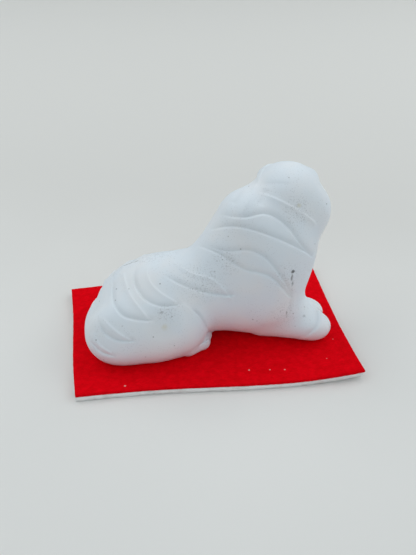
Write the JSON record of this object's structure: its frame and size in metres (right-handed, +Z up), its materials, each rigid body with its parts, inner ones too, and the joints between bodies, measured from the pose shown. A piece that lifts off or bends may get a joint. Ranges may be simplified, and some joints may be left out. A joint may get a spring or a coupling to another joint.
{
  "type": "tiger zodiac figurine",
  "caption": "Lying tiger figurine in white unglazed ceramic with carved leaf-shaped stripes, head turned to its left, on a red felt mat with a white backing.",
  "frame": {"origin": "under the middle of the mat, on the surface that the mat lies on", "axes": "+X from the rump toward the forepaws along the mat's long side, +Y to the tiger's left, +Z up"},
  "size_m": [0.1006, 0.0688, 0.065],
  "materials": {
    "tiger": "unglazed white ceramic, matt, with fine pores and faint grey specks",
    "felt": "saturated red felt with a soft nap",
    "backing": "off-white backing, matt"
  },
  "bodies": {
    "root": {"tiger": "tiger", "mat_felt": "felt", "mat_backing": "backing"}
  },
  "joints": []
}
